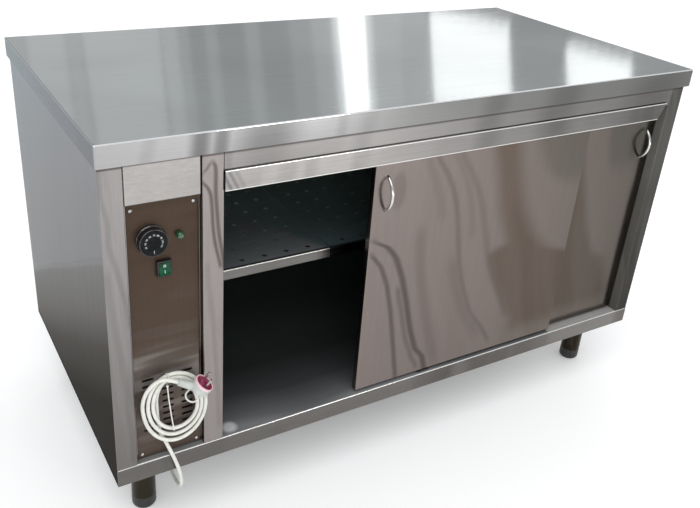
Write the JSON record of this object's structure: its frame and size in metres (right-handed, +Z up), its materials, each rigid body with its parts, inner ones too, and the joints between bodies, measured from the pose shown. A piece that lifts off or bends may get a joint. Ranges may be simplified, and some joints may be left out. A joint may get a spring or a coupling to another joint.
{
  "type": "hot food table",
  "caption": "Free-standing stainless hot cupboard table with a flat worktop, sliding doors, perforated shelf, heater and control column and a coiled mains lead.",
  "frame": {"origin": "on the floor under the middle of the worktop", "axes": "+Z up, +X to the right along the front, +Y from the front to the back"},
  "size_m": [1.4, 0.7427, 0.85],
  "materials": {
    "steel": "polished stainless sheet",
    "leg_steel": "dull stainless tube",
    "panel_steel": "warm brown bright sheet",
    "bright_steel": "bright",
    "zinc_steel": "zinc coated",
    "aluminium": "mill finish",
    "black_plastic": "satin black",
    "white_plastic": "soft white",
    "nylon": "natural",
    "green_plastic": "clear green",
    "red_plastic": "satin crimson",
    "board": "raw board",
    "wool": "mineral wool",
    "heater_steel": "heat darkened",
    "ceramic": "glazed"
  },
  "bodies": {
    "cabinet": {"worktop": "steel", "left_side_panel": "steel", "right_side_panel": "steel", "back_panel": "steel", "floor_tray": "steel", "mid_post": "steel", "partition_wall": "steel", "back_liner": "steel", "right_liner": "steel", "upper_rail": "steel", "track_fascia": "steel", "shelf_panels": "steel", "shelf_rails": "steel", "column_plate": "steel", "panel_screws": "bright_steel", "plug_pins": "bright_steel", "worktop_ribs": "zinc_steel", "leg_channels": "zinc_steel", "fan_plate": "zinc_steel", "fan_motor": "zinc_steel", "thermostat": "zinc_steel", "heater_brackets": "zinc_steel", "door_track": "aluminium", "switch_housing": "black_plastic", "pilot_lamp_body": "black_plastic", "door_guides": "black_plastic", "cable_gland": "white_plastic", "mains_cord": "white_plastic", "cord_coil": "white_plastic", "cable_tie": "white_plastic", "plug_body": "white_plastic", "plug_ring": "white_plastic", "legs": "leg_steel", "control_panel": "panel_steel", "pilot_lamp_lens": "green_plastic", "plug_face": "red_plastic", "worktop_core": "board", "wall_insulation": "wool", "heating_element": "heater_steel", "terminal_block": "ceramic"},
    "knob": {"thermostat_shaft": "bright_steel", "thermostat_knob": "black_plastic"},
    "rocker": {"switch_rocker": "green_plastic"},
    "fan": {"fan_impeller": "aluminium"},
    "front_door": {"front_door_skin": "steel", "front_door_lining": "steel", "front_door_handle": "bright_steel", "front_door_hangers": "zinc_steel"},
    "rear_door": {"rear_door_skin": "steel", "rear_door_lining": "steel", "rear_door_handle": "bright_steel", "rear_door_hangers": "zinc_steel"},
    "foot_front_left_body": {"foot_front_left": "black_plastic"},
    "foot_front_right_body": {"foot_front_right": "black_plastic"},
    "foot_rear_left_body": {"foot_rear_left": "black_plastic"},
    "foot_rear_right_body": {"foot_rear_right": "black_plastic"},
    "front_door_roller_left_body": {"front_door_roller_left": "nylon"},
    "front_door_roller_right_body": {"front_door_roller_right": "nylon"},
    "rear_door_roller_left_body": {"rear_door_roller_left": "nylon"},
    "rear_door_roller_right_body": {"rear_door_roller_right": "nylon"}
  },
  "joints": [
    {"name": "knob_turn", "type": "hinge", "parent": "cabinet", "child": "knob", "pos_m": [-0.6093, -0.335, 0.662], "axis": [0, 1, 0], "range_deg": [0, 270]},
    {"name": "rocker_tip", "type": "hinge", "parent": "cabinet", "child": "rocker", "pos_m": [-0.5887, -0.3315, 0.603], "axis": [1, 0, 0], "range_deg": [0, 14]},
    {"name": "fan_spin", "type": "hinge", "parent": "cabinet", "child": "fan", "pos_m": [-0.5875, -0.23, 0.32], "axis": [0, 1, 0], "continuous": true},
    {"name": "front_door_slide", "type": "slide", "parent": "cabinet", "child": "front_door", "axis": [1, 0, 0], "range_m": [-0.315, 0.105]},
    {"name": "rear_door_slide", "type": "slide", "parent": "cabinet", "child": "rear_door", "axis": [1, 0, 0], "range_m": [-0.095, 0]},
    {"name": "foot_front_left_screw", "type": "slide", "parent": "cabinet", "child": "foot_front_left_body", "axis": [0, 0, -1], "range_m": [0, 0.03]},
    {"name": "foot_front_right_screw", "type": "slide", "parent": "cabinet", "child": "foot_front_right_body", "axis": [0, 0, -1], "range_m": [0, 0.03]},
    {"name": "foot_rear_left_screw", "type": "slide", "parent": "cabinet", "child": "foot_rear_left_body", "axis": [0, 0, -1], "range_m": [0, 0.03]},
    {"name": "foot_rear_right_screw", "type": "slide", "parent": "cabinet", "child": "foot_rear_right_body", "axis": [0, 0, -1], "range_m": [0, 0.03]},
    {"name": "front_door_roller_left_spin", "type": "hinge", "parent": "front_door", "child": "front_door_roller_left_body", "pos_m": [-0.073, -0.327, 0.7903], "axis": [0, 1, 0], "continuous": true},
    {"name": "front_door_roller_right_spin", "type": "hinge", "parent": "front_door", "child": "front_door_roller_right_body", "pos_m": [0.324, -0.327, 0.7903], "axis": [0, 1, 0], "continuous": true},
    {"name": "rear_door_roller_left_spin", "type": "hinge", "parent": "rear_door", "child": "rear_door_roller_left_body", "pos_m": [0.1675, -0.311, 0.7903], "axis": [0, 1, 0], "continuous": true},
    {"name": "rear_door_roller_right_spin", "type": "hinge", "parent": "rear_door", "child": "rear_door_roller_right_body", "pos_m": [0.5645, -0.311, 0.7903], "axis": [0, 1, 0], "continuous": true}
  ],
  "couplings": [
    {"joint": "front_door_roller_left_spin", "follows": "front_door_slide", "rad_per_m": 125},
    {"joint": "front_door_roller_right_spin", "follows": "front_door_slide", "rad_per_m": 125},
    {"joint": "rear_door_roller_left_spin", "follows": "rear_door_slide", "rad_per_m": 125},
    {"joint": "rear_door_roller_right_spin", "follows": "rear_door_slide", "rad_per_m": 125}
  ]
}
